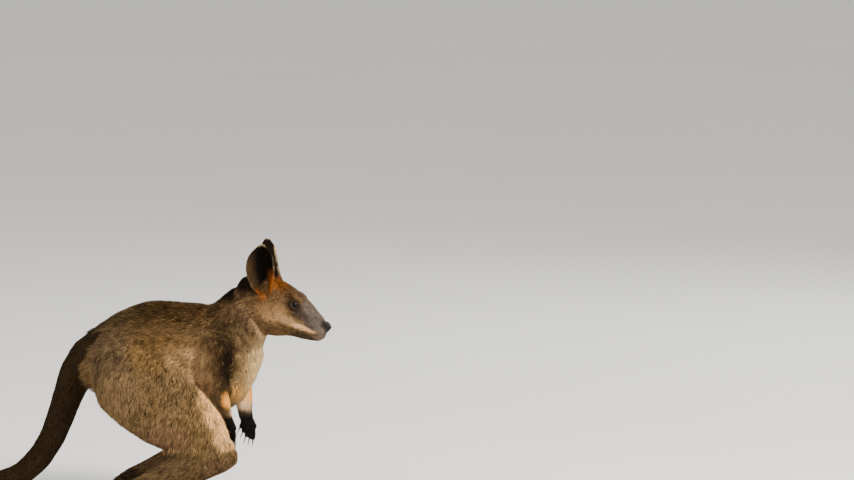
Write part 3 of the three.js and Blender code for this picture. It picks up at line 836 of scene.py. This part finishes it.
class Shading:
    """A material's nodes, added one at a time."""

    def __init__(self, name, roughness, gloss):
        self.material = bpy.data.materials.new(name)
        self.material.use_nodes = True
        self.tree = self.material.node_tree
        self.shader = self.tree.nodes["Principled BSDF"]
        self.shader.inputs["Roughness"].default_value = roughness
        self.shader.inputs["Specular IOR Level"].default_value = gloss

    def put(self, target, value):
        """Links a socket to an input, or sets the input to a value."""
        if isinstance(value, bpy.types.NodeSocket):
            self.tree.links.new(value, target)
        elif target.type == "RGBA":
            target.default_value = (*value, 1)
        else:
            target.default_value = value

    def add(self, kind, output, inputs, **settings):
        """Adds a node and gives one of its outputs."""
        node = self.tree.nodes.new("ShaderNode" + kind)
        for name, value in settings.items():
            setattr(node, name, value)
        for name, value in inputs.items():
            self.put(node.inputs[name], value)
        return node.outputs[output]

    def attribute(self, name, output):
        return self.add("Attribute", output, {}, attribute_name=name)

    def places(self):
        return self.add("TexCoord", "Object", {})

    def noise(self, scale, detail=3.0):
        return self.add("TexNoise", "Fac", {"Vector": self.places(), "Scale": scale, "Detail": detail})

    def cells(self, scale):
        return self.add("TexVoronoi", "Distance", {"Vector": self.places(), "Scale": scale})

    def rescaled(self, value, low, high, to_low, to_high):
        return self.add("MapRange", "Result", {0: value, 1: low, 2: high, 3: to_low, 4: to_high})

    def product(self, a, b):
        return self.add("Math", 0, {0: a, 1: b}, operation="MULTIPLY")

    def mix(self, share, a, b):
        return self.add("Mix", 2, {0: share, 6: a, 7: b}, data_type="RGBA")

    def scaled(self, colour, factor):
        """A colour times a number."""
        return self.add("VectorMath", 0, {0: colour, "Scale": factor}, operation="SCALE")

    def bump(self, heights, strength, distance):
        inputs = {"Strength": strength, "Distance": distance, "Height": heights}
        self.put(self.shader.inputs["Normal"], self.add("Bump", "Normal", inputs))

    def colour(self, value):
        self.put(self.shader.inputs["Base Color"], value)


def two_toned(name, roughness, gloss, scale, low, high, dark, pale):
    """A surface that wanders between two colours."""
    made = Shading(name, roughness, gloss)
    made.colour(made.mix(made.rescaled(made.noise(scale), low, high, 0.0, 1.0), dark, pale))
    return made


def coat_material(name, gloss):
    """Hair: dark at its root, full in the middle and paler at its tip."""
    made = Shading(name, 0.7, gloss)
    shade = made.rescaled(made.attribute("along", "Fac"), 0.0, 1.0, 0.75, 1.22)
    speckle = made.rescaled(made.noise(420), 0.3, 0.7, 0.86, 1.14)
    made.colour(made.scaled(made.attribute("tone", "Color"), made.product(shade, speckle)))
    made.bump(made.noise(1500, 2.0), 0.25, 0.4 * MM)
    return made.material


def skin_material():
    """Skin with its short underfur, in the coat's colours and darker."""
    made = Shading("skin", 0.8, 0.06)
    grain = made.rescaled(made.noise(700), 0.3, 0.7, 0.45, 0.85)
    made.colour(made.scaled(made.attribute("tone", "Color"), grain))
    made.bump(made.noise(1100), 0.6, 0.6 * MM)
    return made.material


def eye_material():
    """A brown iris with darker fibres, a black pupil and a dark rim."""
    made = Shading("eye", 0.06, 0.11)
    gaze = made.attribute("gaze", "Fac")
    fibres = made.rescaled(made.noise(1600), 0.35, 0.65, 0.0, 1.0)
    iris = made.mix(fibres, (0.022, 0.010, 0.004), (0.009, 0.004, 0.002))
    inner = made.mix(made.rescaled(gaze, 0.885, 0.905, 0.0, 1.0), iris, (0.001, 0.001, 0.001))
    made.colour(made.mix(made.rescaled(gaze, 0.70, 0.76, 0.0, 1.0), (0.008, 0.005, 0.004), inner))
    return made.material


def nose_material():
    """Moist bare skin with fine pores."""
    made = two_toned("nose", 0.38, 0.12, 260, 0.35, 0.65, (0.005, 0.004, 0.004), (0.012, 0.010, 0.009))
    made.bump(made.cells(1300), 0.4, 0.3 * MM)
    return made.material


def lid_material():
    """The dark wet edge of the lids."""
    made = two_toned("lid", 0.4, 0.25, 900, 0.35, 0.65, (0.006, 0.005, 0.004), (0.014, 0.010, 0.008))
    return made.material


def claw_material():
    """Streaked dark horn."""
    made = two_toned("claw", 0.38, 0.45, 180, 0.3, 0.7, (0.026, 0.021, 0.018), (0.110, 0.088, 0.072))
    made.bump(made.noise(600), 0.3, 0.3 * MM)
    return made.material


def floor_material():
    made = Shading("floor", 0.85, 0.2)
    made.colour(made.scaled((0.80, 0.79, 0.76), made.rescaled(made.noise(1.3), 0.3, 0.7, 0.97, 1.0)))
    return made.material


# ---- The coat's tufts ----

TUFT_SHARE = 1.0
TUFTS_IN_A_PIECE = 28_800
PATCH = 0.003  # size of a tuft's patch on the OFBake map
WAIST = 0.42  # how far along a tuft its widest place is
ARCH = 0.14  # how far it bows out there, as a share of its length
ROOT_DEPTH = 0.4 * MM  # of the tufts' roots in the skin
OVER_FLOOR = 0.2 * MM  # no tuft comes lower
TUFT_CORNERS = [[0, 1, 3], [0, 3, 2], [0, 2, 1], [4, 3, 1], [4, 2, 3], [4, 1, 2]]
TUFT_ALONG = [0, 0.5, 0.5, 0.6, 1]  # from root to tip, for the hair's shades
TUFT_SPREAD = [[0, -0.5], [-0.45, 0], [0.45, 0], [0, 0.1], [0, 0.5]]  # on its patch
NOSE_EDGE = 0.42  # the nose's share of a point where its bare pad begins

# Each piece of coat: its regions, its side or None for both, and its finish.
COATS = {
    "coat_trunk_right": (["trunk"], "right", "body_coat"),
    "coat_trunk_left": (["trunk"], "left", "body_coat"),
    "coat_neck": (["neck"], None, "body_coat"),
    "coat_head_right": (["head"], "right", "face_coat"),
    "coat_head_left": (["head"], "left", "face_coat"),
    "coat_ears": (["ear"], None, "ear_coat"),
    "coat_tail": (["tail"], None, "tail_coat"),
    "coat_arms": (["upper_arm", "forearm"], None, "leg_coat"),
    "coat_leg_right": (["thigh", "shin"], "right", "leg_coat"),
    "coat_leg_left": (["thigh", "shin"], "left", "leg_coat"),
    "coat_hands_and_feet": (["hand", "foot"], None, "dark_coat"),
}


def bare_skin():
    """1 where no hair grows: between the lids, in the mouth's line, on the soles and the nose, and over most
    of the hollow of the ears."""
    local = to_head(skin.points)
    bare = step(0.5, 0.9, mouth_closeness(local, 1.0 * MM)) * step(0.3, 0.7, head_share)
    for side in SIDES:
        x, y, out = seen_by_eye(skin.points, side)
        opened = (np.hypot(x, y) < opening_radius(np.arctan2(y, x)) + 1.0 * MM) & (out > 0)
        bare = np.maximum(bare, opened)
    sole = part_in(shares, "foot") * step(-0.5, -0.8, normals[:, 2])
    across, inside = ear_places(skin.points, normals)[1:]
    hollow = 0.75 * step(0.1, 0.4, inside) * step(0.9, 0.7, np.abs(across)) * (part_in(shares, "ear") > 0.6)
    return np.maximum.reduce([bare, sole, hollow, step(0.3, NOSE_EDGE, part_in(shares, "nose"))])


def scattered_roots():
    """Roots spread over the skin: each one's triangle and its shares of the triangle's corners."""
    density = (blended("dense") / fine**1.3)[skin.triangles].mean(axis=1) / MM**2
    bare = bare_skin()[skin.triangles].mean(axis=1)
    wanted = skin.areas() * density * (1 - bare) * TUFT_SHARE
    total = np.cumsum(wanted)
    count = int(total[-1])
    places = (np.arange(count) + random.random(count)) * total[-1] / count
    triangle = np.minimum(np.searchsorted(total, places), len(wanted) - 1)
    a, b = random.random((2, count))
    flip = a + b > 1
    a[flip], b[flip] = 1 - a[flip], 1 - b[flip]
    return triangle, np.stack([1 - a - b, a, b], axis=1)


def grizzled(tones, grizzle, roots):
    """Each tuft's own shade, with some pale-tipped and some black ones among them, in flecks."""
    count = len(tones)
    green = tones[:, 1].copy()
    grizzle = grizzle * (0.3 + 0.7 * step(0.30, 0.14, green))  # less in the palest fur
    tones = tones * (0.76 + 0.5 * random.random(count))[:, None]
    luck = random.random(count)
    pale = luck < 0.15 * grizzle * step(0.008, 0.035, green)
    black = luck > 1 - 0.20 * grizzle
    tones[pale] = tones[pale] * 0.6 + np.array([0.34, 0.205, 0.085]) * 0.4
    tones[black] *= 0.3
    flecks = step(0.54, 0.68, noise(roots, 5 * MM)) * np.minimum(grizzle, 1)
    return tones * (1.06 - 0.5 * flecks)[:, None]


def settle_tips(tips, heights, region_index):
    """Brings each tip to its height over the nearest point of the skin. A leg's tip by an arm stays where it
    is, and so does an arm's tip by a leg."""
    nearest = nearest_in(tree_of(skin.points, 2), tips)
    over = dot(tips - skin.points[nearest], normals[nearest])
    there = shares.argmax(axis=1)[nearest]
    arms, legs = numbers_of(AREAS["arms"]), numbers_of(AREAS["legs"])
    apart = np.isin(region_index, legs) & np.isin(there, arms)
    apart |= np.isin(region_index, arms) & np.isin(there, legs)
    return tips + normals[nearest] * np.where(apart, 0, heights - over)[:, None]


def unwrapped(roots, region):
    """Each root's place on an unwrap of the skin: round the region's own axis and along it."""
    if region == "tail":
        way, centre = tail_way(roots)
        along = roots[:, 0] - 0.3 * roots[:, 2]
    else:
        centre = roots.mean(axis=0)
        spread = np.linalg.svd((roots - centre)[:: max(len(roots) // 2000, 1)], full_matrices=False)[2]
        way = np.tile(spread[0], (len(roots), 1))
        along = (roots - centre) @ spread[0]
    side = unit(np.cross(way, [0.05, 0.0, 1.0] if abs(way[0, 2]) < 0.9 else [1.0, 0.0, 0.05]))
    up = np.cross(side, way)
    offset = roots - centre
    angle = np.arctan2(dot(offset, side), dot(offset, up)) / (2 * np.pi) + 0.5
    return np.stack([angle, (along - along.min()) / (np.ptp(along) + 1e-9)], axis=1)


def bake_places(roots, region_index, regions):
    """The tufts' places on the piece's map, with a strip of it for each of the piece's regions."""
    places = np.zeros((len(roots), 2))
    start = 0.0
    for region in regions:
        mine = region_index == NAMES.index(region)
        if not mine.any():
            continue
        share = mine.mean()
        places[mine] = unwrapped(roots[mine], region) * [share, 1] + [start, 0]
        start += share
    return PATCH + places * (1 - 2 * PATCH)


def hair_mesh(name, points, corners, along, tones, places, spread):
    """Closed hairs of one make. Points are given for each hair, and the triangles of one hair by its own
    points. The OFBake map has each hair's points spread over a small patch at its place."""
    count, size = points.shape[:2]
    faces = (np.arange(count)[:, None, None] * size + np.array(corners)).reshape(-1, 3)
    mesh = mesh_from(name, points.reshape(-1, 3), faces)
    set_numbers(mesh, "along", np.tile(along, count))
    set_tones(mesh, np.repeat(tones, size, axis=0))
    uv = (places[:, None] + np.array(spread) * PATCH).reshape(-1, 2)
    layer = mesh.uv_layers.new(name="OFBake")
    layer.data.foreach_set("uv", uv[faces.ravel()].astype(np.float32).ravel())
    return mesh


def tuft_mesh(name, roots, tips, up, widths, tones, places):
    """Closed tufts, each from a point in the skin over a three-sided waist to its pointed tip."""
    along = tips - roots
    side = unit(np.cross(along, up))
    lift = unit(np.cross(side, along))
    waist = roots + along * WAIST + lift * (np.linalg.norm(along, axis=1) * ARCH)[:, None]
    half = widths[:, None] / 2
    ring = [waist + side * half, waist - side * half, waist + lift * half * 0.8]
    points = np.stack([roots, *ring, tips], axis=1)
    points[:, :, 2] = np.maximum(points[:, :, 2], OVER_FLOOR)
    return hair_mesh(name, points, TUFT_CORNERS, TUFT_ALONG, tones, places, TUFT_SPREAD)


def add_coat(materials):
    triangle, corners = scattered_roots()
    count = len(triangle)

    def at_roots(values):
        return np.einsum("ij,ij...->i...", corners, values[skin.triangles[triangle]])

    roots = at_roots(skin.points)
    facing = unit(at_roots(normals))
    way = unit(at_roots(lie) + 0.22 * random.normal(size=(count, 3)))
    rise = at_roots(height) * (0.82 + 0.36 * random.random(count))
    reach_along = at_roots(length) * (0.75 + 0.5 * random.random(count))
    wide = at_roots(width) * (0.75 + 0.5 * random.random(count))
    root_shares = at_roots(shares)
    tones = grizzled(markings(roots, root_shares, facing), root_shares @ each("grizzle"), roots)
    region_index = root_shares.argmax(axis=1)
    tips = settle_tips(roots + way * reach_along[:, None] + facing * rise[:, None], rise, region_index)
    for name, (regions, side, slot) in COATS.items():
        mine = np.isin(region_index, numbers_of(regions))
        if side:
            mine &= (roots[:, 1] * SIDES[side]) >= 0
        mine = np.flatnonzero(mine)
        if len(mine) > TUFTS_IN_A_PIECE:
            mine = np.sort(random.permutation(mine)[:TUFTS_IN_A_PIECE])
        places = bake_places(roots[mine], region_index[mine], regions)
        sunk = roots[mine] - facing[mine] * ROOT_DEPTH
        mesh = tuft_mesh(name, sunk, tips[mine], facing[mine], wide[mine], tones[mine], places)
        add_piece(name, mesh, materials.get(slot, materials["body_coat"]))


# ---- Whiskers and lashes ----

WHISKER_ROWS = 4
WHISKERS_IN_A_ROW = 5
WHISKER_WIDTH = 0.26 * MM
LASHES = 26
LASH_WIDTH = 0.2 * MM
STRAND_RINGS = [0, 0.25, 0.5, 0.75]  # how far along a strand its rings of three points are
THIRDS = (0, 2.094, 4.189)  # of a turn, in radians


def strand_corners():
    """The triangles of one strand: its root, the sides between its rings and its tip."""
    last = 3 * (len(STRAND_RINGS) - 1)
    corners = [[0, 2, 1]]
    for j in range(3):
        after = (j + 1) % 3
        for ring in range(0, last, 3):
            near, near_after, far, far_after = ring + j, ring + after, ring + 3 + j, ring + 3 + after
            corners += [[near, near_after, far_after], [near, far_after, far]]
        corners += [[last + j, last + after, last + 3]]
    return corners


def strand_mesh(name, strands, thick, tone):
    """Thin closed hairs of three sides that bend away and are drawn out to a point. Each strand is given by
    its root, its way, its bend and its length."""
    roots, ways, bends, lengths = map(np.array, zip(*strands))
    count = len(roots)
    side = unit(np.cross(ways, [0.1, 0.2, 1.0]))
    up = np.cross(ways, side)

    def along(share):
        return roots + (ways * share + bends * share**2) * lengths[:, None]

    rings = []
    for share in STRAND_RINGS:
        half = thick / 2 * (1 - 0.6 * share)
        rings += [along(share) + (side * math.cos(turn) + up * math.sin(turn)) * half for turn in THIRDS]
    points = np.stack([*rings, along(1.0)], axis=1)
    size = points.shape[1]
    wide = math.ceil(math.sqrt(count))
    places = (np.stack([np.arange(count) % wide, np.arange(count) // wide], axis=1) + 0.5) / wide
    spread = [[0.3 * (k % 3) - 0.3, k / (size - 1) - 0.5] for k in range(size)]
    tones = np.tile(tone, (count, 1))
    return hair_mesh(name, points, strand_corners(), [0.5] * size, tones, places, spread)


def on_skin(place):
    """The skin's nearest point to a place in the head's frame, and the way it faces."""
    nearest = np.argmin(np.sum((skin.points - from_head(place)) ** 2, axis=1))
    return skin.points[nearest], normals[nearest]


def add_whiskers(material):
    """Whiskers on the upper lip, the brow and the cheek."""
    planned = []  # place in the head's frame on the left side, and length
    for row in range(WHISKER_ROWS):
        for k in range(WHISKERS_IN_A_ROW):
            place = (123 - 4.5 * k - 1.2 * row, 16 + k, 14 - 3.2 * row - 0.8 * k)
            planned.append((place, 16 + 4.5 * k + 1.5 * row))
    planned += [((72 - 3 * k, 22, 45), 20 + 3 * k) for k in range(3)]
    planned += [((52 - 4 * k, 38, -2), 22) for k in range(2)]
    strands = []
    for place, long in planned:
        for sign in SIDES.values():
            shift = 0.6 * random.normal(size=3)
            root, out = on_skin((np.array(place) + shift) * MM * [1, sign, 1])
            way = unit(0.8 * out - 0.5 * FORWARD + 0.12 * random.normal(size=3))
            bend = -0.35 * FORWARD - np.array([0, 0, 0.25])
            strands.append((root - out * 0.6 * MM, way, bend, long * MM))
    mesh = strand_mesh("whiskers", strands, WHISKER_WIDTH, (0.020, 0.014, 0.010))
    add_piece("whiskers", mesh, material)


def add_lashes(material):
    """Lashes along the upper lids."""
    strands = []
    for side in SIDES:
        up, out = eye_frame(side)[2:]
        angles = np.linspace(0.15, 0.85, LASHES) * np.pi + 0.03 * random.normal(size=LASHES)
        for spoke, root in zip(*along_lids(side, angles, 0.5 * MM, 0.4 * MM)):
            way = unit(0.9 * out + 0.5 * spoke - 0.1 * up)
            strands.append((root, way, 0.35 * up, (3.2 + 1.4 * random.random()) * MM))
    mesh = strand_mesh("lashes", strands, LASH_WIDTH, (0.010, 0.007, 0.005))
    add_piece("lashes", mesh, material)


# ---- Skin piece ----

SKIN_FACES = 190_000


def add_skin(material):
    """The skin thinned to fewer faces."""
    mesh = mesh_from("skin", skin.points, skin.triangles)
    thinned = with_modifier(mesh, "DECIMATE", ratio=min(1, SKIN_FACES / len(skin.triangles)))
    points = read(thinned.vertices, "co", 3)
    nearest = nearest_in(tree_of(skin.points), points)
    set_tones(thinned, markings(points, shares[nearest], normals[nearest]))
    thinned.shade_smooth()
    add_piece("skin", thinned, material, [node for node in FLESH if node != "nose"])


# ---- Eyes, nose and claws ----

BALL_SEGMENTS = 48
BALL_RINGS = 32
BALL_SIZE = 0.985  # the ball's share of the eye's radius, so that the lids clear it
CORNEA_RISE = 0.055  # over the ball, as a share of its radius
EDGE_STEPS = 72  # points round the lids' opening
EDGE_SIDES = 10  # points round the section of their edge
EDGE_RADIUS = 0.55 * MM
PAD_RISE = 0.55 * MM  # of the nose's pad over the skin, from its sunken edge
PAD_SUNK = 0.15 * MM
PAD_DEPTH = 0.8 * MM


def add_eyes(material):
    """Eyeballs with the cornea's bulge, turned to look out of the lids."""
    for side in SIDES:
        name = f"eyeball_{side}"
        shape = bmesh.new()
        bmesh.ops.create_uvsphere(shape, u_segments=BALL_SEGMENTS, v_segments=BALL_RINGS, radius=1)
        mesh = mesh_of(shape, name)
        mesh.shade_smooth()
        points = read(mesh.vertices, "co", 3)
        gaze = points[:, 2]
        bulge = 1 + CORNEA_RISE * step(0.72, 1.0, gaze)
        centre, *axes = eye_frame(side)
        placed = centre + points @ np.array(axes) * (EYE_RADIUS * BALL_SIZE * bulge)[:, None]
        mesh.vertices.foreach_set("co", placed.astype(np.float32).ravel())
        mesh.update()
        if np.linalg.det(axes) < 0:
            mesh.flip_normals()
        set_numbers(mesh, "gaze", gaze)
        add_piece(name, mesh, material, [f"eye_{side}"])


def add_lid_edges(material):
    """The dark wet edge round the opening of each eye."""
    angles = np.arange(EDGE_STEPS) / EDGE_STEPS * 2 * np.pi
    turns = (np.arange(EDGE_SIDES) / EDGE_SIDES * 2 * np.pi)[:, None]
    i, j = np.meshgrid(np.arange(EDGE_STEPS), np.arange(EDGE_SIDES), indexing="ij")
    next_i, next_j = (i + 1) % EDGE_STEPS, (j + 1) % EDGE_SIDES
    corners = [(i, j), (next_i, j), (next_i, next_j), (i, next_j)]
    faces = np.stack([a * EDGE_SIDES + b for a, b in corners], axis=-1).reshape(-1, 4)
    for side, sign in SIDES.items():
        spokes, places = along_lids(side, angles, 0, 0.35 * MM)
        ring = spokes[:, None] * np.cos(turns) + eye_frame(side)[-1] * np.sin(turns)
        points = (places[:, None] + ring * EDGE_RADIUS).reshape(-1, 3)
        mesh = mesh_from(f"lid_edge_{side}", points, faces[:, ::-1] if sign > 0 else faces)
        add_piece(f"lid_edge_{side}", mesh, material)


def add_nose(material):
    """The bare pad of the nose: a thin shell over the end of the muzzle."""
    share = part_in(shares, "nose")
    faces = skin.triangles[(share[skin.triangles] > NOSE_EDGE).all(axis=1)]
    used, faces = np.unique(faces, return_inverse=True)
    faces = faces.reshape(-1, 3)
    count = len(used)
    rise = PAD_RISE * step(NOSE_EDGE, 0.6, share[used]) - PAD_SUNK
    outer = skin.points[used] + normals[used] * rise[:, None]
    inner = skin.points[used] - normals[used] * PAD_DEPTH
    edges = np.concatenate([faces[:, [0, 1]], faces[:, [1, 2]], faces[:, [2, 0]]])
    directed = {tuple(edge) for edge in edges}
    start, end = np.array([edge for edge in edges if (edge[1], edge[0]) not in directed]).T
    rim = np.r_[np.c_[end, start, start + count], np.c_[end, start + count, end + count]]
    mesh = mesh_from("nose_pad", np.r_[outer, inner], np.r_[faces, faces[:, ::-1] + count, rim])
    add_piece("nose_pad", mesh, material, ["nose"])


def add_claws(material):
    """Smooth horn claws over the CAD ones."""
    for node in sorted(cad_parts):
        if node.startswith("claw"):
            smooth = with_modifier(mesh_of(welded(node), node), "SUBSURF", levels=3, render_levels=3)
            smooth.shade_smooth()
            add_piece(f"horn_{node}", smooth, material, [node])


# ---- Making ----

add_camera()
add_world((1.0, 0.99, 0.97), 0.82)
add_light("key", (3.4, -2.0, 2.8), 1.4, 450, (1.0, 0.95, 0.87))
add_light("fill", (-2.6, -2.2, 1.6), 2.4, 45, (0.95, 0.97, 1.0))
add_light("far fill", (1.4, 3.0, 2.2), 2.4, 60, (0.98, 0.98, 1.0))

bpy.ops.mesh.primitive_plane_add(size=120, location=(0, 0, 0))
floor = bpy.context.object
floor.name = "floor"
floor.data.materials.append(floor_material())

add_skin(skin_material())
hair = coat_material("coat", 0.07)
dark_hair = coat_material("dark coat", 0.035)
add_coat({"body_coat": hair, "ear_coat": dark_hair, "tail_coat": dark_hair, "dark_coat": dark_hair})
add_whiskers(dark_hair)
add_lashes(dark_hair)
add_eyes(eye_material())
add_nose(nose_material())
add_lid_edges(lid_material())
add_claws(claw_material())
